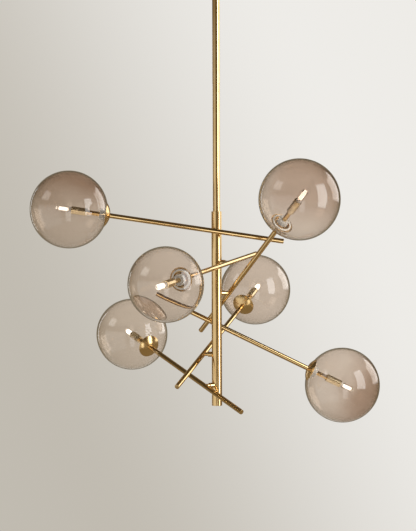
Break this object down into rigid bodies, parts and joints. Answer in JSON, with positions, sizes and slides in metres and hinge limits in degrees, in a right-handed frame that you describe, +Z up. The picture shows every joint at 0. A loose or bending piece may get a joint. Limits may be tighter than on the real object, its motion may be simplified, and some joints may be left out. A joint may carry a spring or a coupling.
{
  "type": "branch chandelier",
  "caption": "Ceiling-hung branch light: a stem and column with tilting arms, each ending in a smoky blown-glass globe around a small lamp.",
  "frame": {"origin": "centre of the ceiling bar's upper face, in the plane of the ceiling, on the stem's axis", "axes": "+Z up into the ceiling, the stem hangs along -Z, -Y is the front and +X the right seen from the front; the two screw slots lie along X"},
  "size_m": [0.6868, 0.6577, 1.0419],
  "materials": {
    "polished_brass": "polished and lacquered",
    "spun_brass": "spun dome with fine turning lines, polished",
    "holder_brass": "polished lamp holder sleeve",
    "plated_steel": "zinc plated",
    "clear_acrylic": "clear acrylic, turned and polished",
    "clear_silicone": "translucent silicone rubber, smooth",
    "smoky_glass": "clear blown glass with a smoky rose-brown tint",
    "bulb_glass": "clear capsule with a bright core, lit white"
  },
  "bodies": {
    "ceiling_fitting": {"mounting_bar": "plated_steel", "shank_nuts": "plated_steel", "canopy": "polished_brass", "canopy_ring": "polished_brass", "swivel_fork": "polished_brass", "swivel_screw": "polished_brass"},
    "stem": {"swivel_tongue": "polished_brass", "upper_rod": "polished_brass", "lower_rod": "polished_brass", "column": "polished_brass", "column_plug": "polished_brass", "pivot_collars": "polished_brass"},
    "branch_1": {"arm_tube_1": "polished_brass", "pivot_stub_1": "polished_brass", "globe_cap_1": "spun_brass", "globe_nut_1": "clear_acrylic", "globe_seal_1": "clear_silicone", "lamp_holder_1": "holder_brass", "bulb_1": "bulb_glass", "glass_globe_1": "smoky_glass"},
    "branch_2": {"arm_tube_2": "polished_brass", "pivot_stub_2": "polished_brass", "globe_cap_2": "spun_brass", "globe_nut_2": "clear_acrylic", "globe_seal_2": "clear_silicone", "lamp_holder_2": "holder_brass", "bulb_2": "bulb_glass", "glass_globe_2": "smoky_glass"},
    "branch_3": {"arm_tube_3": "polished_brass", "pivot_stub_3": "polished_brass", "globe_cap_3": "spun_brass", "globe_nut_3": "clear_acrylic", "globe_seal_3": "clear_silicone", "lamp_holder_3": "holder_brass", "bulb_3": "bulb_glass", "glass_globe_3": "smoky_glass"},
    "branch_4": {"arm_tube_4": "polished_brass", "pivot_stub_4": "polished_brass", "globe_cap_4": "spun_brass", "globe_nut_4": "clear_acrylic", "globe_seal_4": "clear_silicone", "lamp_holder_4": "holder_brass", "bulb_4": "bulb_glass", "glass_globe_4": "smoky_glass"},
    "branch_5": {"arm_tube_5": "polished_brass", "pivot_stub_5": "polished_brass", "globe_cap_5": "spun_brass", "globe_nut_5": "clear_acrylic", "globe_seal_5": "clear_silicone", "lamp_holder_5": "holder_brass", "bulb_5": "bulb_glass", "glass_globe_5": "smoky_glass"},
    "branch_6": {"arm_tube_6": "polished_brass", "pivot_stub_6": "polished_brass", "globe_cap_6": "spun_brass", "globe_nut_6": "clear_acrylic", "globe_seal_6": "clear_silicone", "lamp_holder_6": "holder_brass", "bulb_6": "bulb_glass", "glass_globe_6": "smoky_glass"}
  },
  "joints": [
    {"name": "swivel_swing", "type": "hinge", "parent": "ceiling_fitting", "child": "stem", "pos_m": [0, 0, -0.05], "axis": [1, 0, 0], "range_deg": [-45, 45]},
    {"name": "arm_1_tilt", "type": "hinge", "parent": "stem", "child": "branch_1", "pos_m": [0.00153, -0.02921, -0.66], "axis": [-0.0523, 0.9986, 0], "range_deg": [-53.5, 31.5]},
    {"name": "arm_2_tilt", "type": "hinge", "parent": "stem", "child": "branch_2", "pos_m": [0.02651, -0.01236, -0.72], "axis": [-0.9063, 0.4226, 0], "range_deg": [-37, 48]},
    {"name": "arm_3_tilt", "type": "hinge", "parent": "stem", "child": "branch_3", "pos_m": [0.02453, 0.01593, -0.78], "axis": [-0.8387, -0.5446, 0], "range_deg": [-82, 3]},
    {"name": "arm_4_tilt", "type": "hinge", "parent": "stem", "child": "branch_4", "pos_m": [-0.00458, 0.02889, -0.84], "axis": [0.1564, -0.9877, 0], "range_deg": [-19, 66]},
    {"name": "arm_5_tilt", "type": "hinge", "parent": "stem", "child": "branch_5", "pos_m": [-0.02651, 0.01236, -0.9], "axis": [0.9063, -0.4226, 0], "range_deg": [-70, 15]},
    {"name": "arm_6_tilt", "type": "hinge", "parent": "stem", "child": "branch_6", "pos_m": [-0.02425, -0.01636, -0.96], "axis": [0.829, 0.5592, 0], "range_deg": [-63, 22]}
  ]
}
